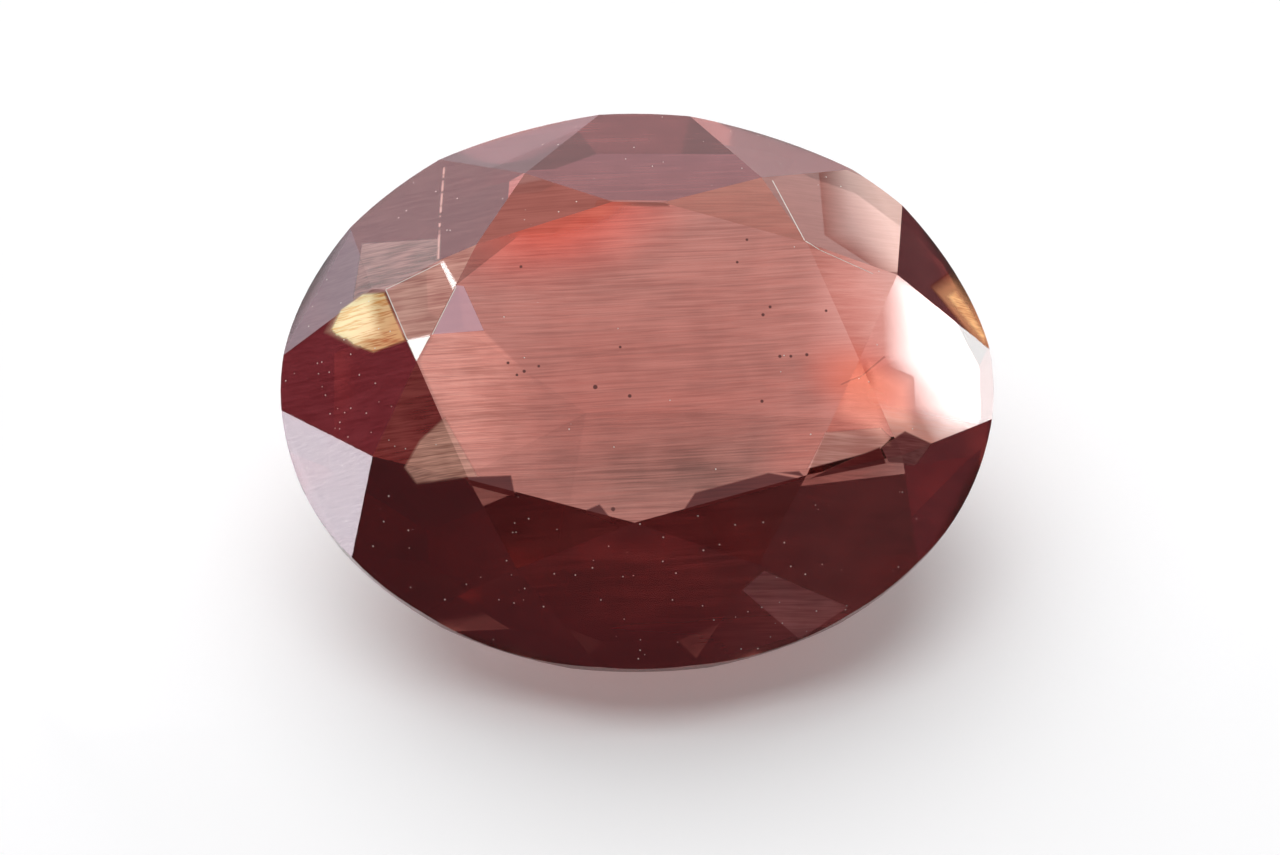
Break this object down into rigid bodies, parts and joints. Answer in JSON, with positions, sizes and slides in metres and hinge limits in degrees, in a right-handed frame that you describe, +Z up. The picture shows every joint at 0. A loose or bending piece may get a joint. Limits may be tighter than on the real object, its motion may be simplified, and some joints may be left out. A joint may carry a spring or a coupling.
{
  "type": "cut sunstone",
  "caption": "Loose oval faceted gemstone of see-through red-brown sunstone, lying on a pavilion facet with its table leaning to the front.",
  "frame": {"origin": "middle of the stone's box, on the surface it lies on", "axes": "+X along the oval, +Z up, -Y to the front, the way the table leans"},
  "size_m": [0.01, 0.0072, 0.0054],
  "materials": {
    "sunstone": "clear red-brown feldspar with flat polished facets"
  },
  "bodies": {
    "root": {"sunstone": "sunstone"}
  },
  "joints": []
}
